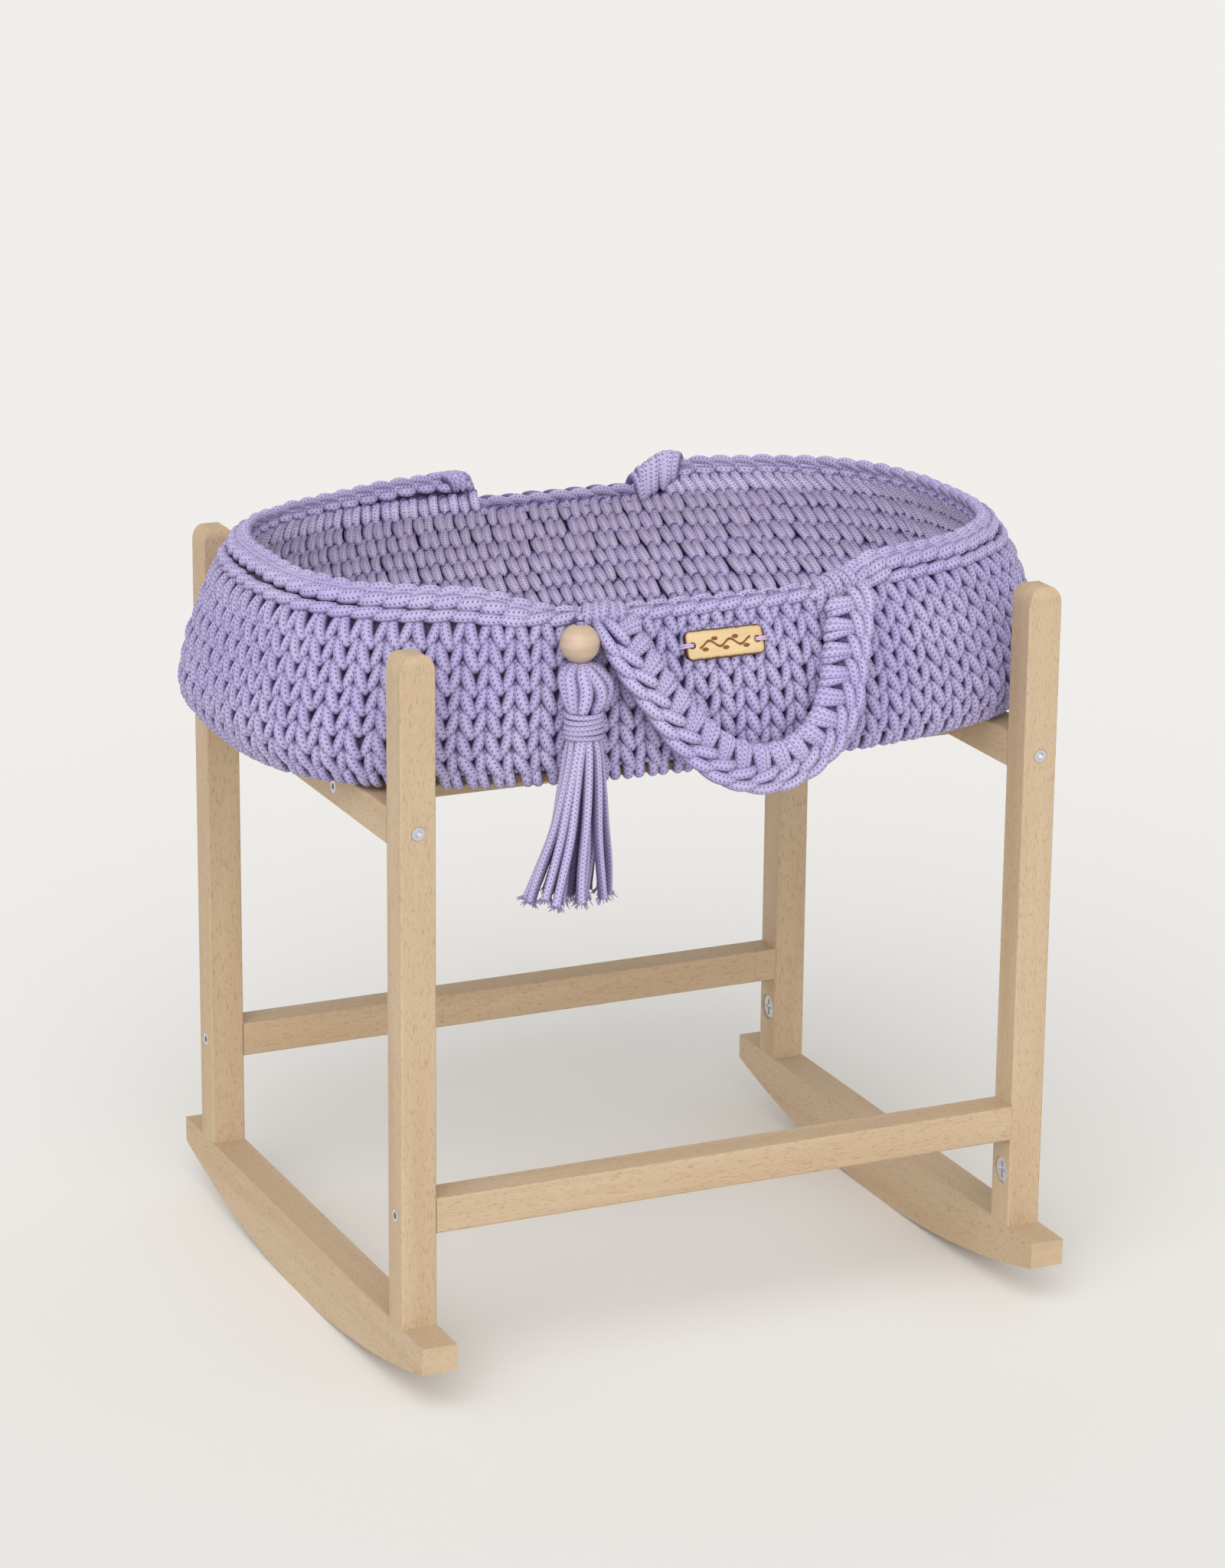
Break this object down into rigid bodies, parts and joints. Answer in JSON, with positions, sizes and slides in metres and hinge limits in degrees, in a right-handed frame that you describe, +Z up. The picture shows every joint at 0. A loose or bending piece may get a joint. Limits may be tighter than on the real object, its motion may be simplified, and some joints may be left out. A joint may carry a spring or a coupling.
{
  "type": "crocheted Moses basket on rocking stand",
  "caption": "Doll-size oval crocheted basket bed with two strap handles and a tassel, resting on an open wooden stand with curved rockers.",
  "frame": {"origin": "on the floor under the middle of the stand, at the lowest line of the rockers", "axes": "+Z up, +X along the basket's length towards its right end, -Y towards the side with the tag and the tassel"},
  "size_m": [0.4836, 0.373, 0.434],
  "materials": {
    "beech": "fine sanded natural beech, unvarnished",
    "plywood": "natural birch plywood with dark laser-cut edge",
    "lilac_cord": "matt knitted cotton cord, 5 mm, lilac",
    "tag_wood": "pale plywood with burnt edge",
    "bead_wood": "smooth turned pale wood",
    "zinc": "bright zinc plate"
  },
  "bodies": {
    "stand": {"rocker_left": "beech", "rocker_right": "beech", "post_front_left": "beech", "post_front_right": "beech", "post_back_left": "beech", "post_back_right": "beech", "stretcher_front": "beech", "stretcher_back": "beech", "cross_rail_left": "beech", "cross_rail_right": "beech", "bearer_front": "beech", "bearer_back": "beech", "stretcher_screws": "zinc", "rail_screws": "zinc", "bearer_screws": "zinc", "cam_discs": "zinc", "cam_bolts": "zinc"},
    "basket": {"base_board": "plywood", "lacing": "lilac_cord", "wall": "lilac_cord", "rim_braid": "lilac_cord", "tag": "tag_wood", "tag_threads": "lilac_cord"},
    "handle_front_body": {"handle_front": "lilac_cord"},
    "handle_back_body": {"handle_back": "lilac_cord"},
    "bead_link": {"bead_cord": "lilac_cord"},
    "tassel": {"bead": "bead_wood", "tassel_neck": "lilac_cord", "tassel_head": "lilac_cord", "tassel_band": "lilac_cord", "tassel_skirt": "lilac_cord"}
  },
  "joints": [
    {"name": "basket_lift", "type": "slide", "parent": "stand", "child": "basket", "axis": [0, 0, 1], "range_m": [0, 0.12]},
    {"name": "handle_front_swing", "type": "hinge", "parent": "basket", "child": "handle_front_body", "pos_m": [0.003, -0.141, 0.413], "axis": [-1, 0, 0], "range_deg": [0, 155]},
    {"name": "handle_back_swing", "type": "hinge", "parent": "basket", "child": "handle_back_body", "pos_m": [0.016, 0.141, 0.413], "axis": [1, 0, 0], "range_deg": [0, 155]},
    {"name": "bead_swing", "type": "hinge", "parent": "basket", "child": "bead_link", "pos_m": [-0.0868, -0.1362, 0.412], "axis": [-1, 0, 0], "range_deg": [0, 75]},
    {"name": "tassel_sway", "type": "hinge", "parent": "bead_link", "child": "tassel", "pos_m": [-0.0885, -0.1473, 0.4185], "axis": [0, 1, 0], "range_deg": [0, 16]}
  ]
}
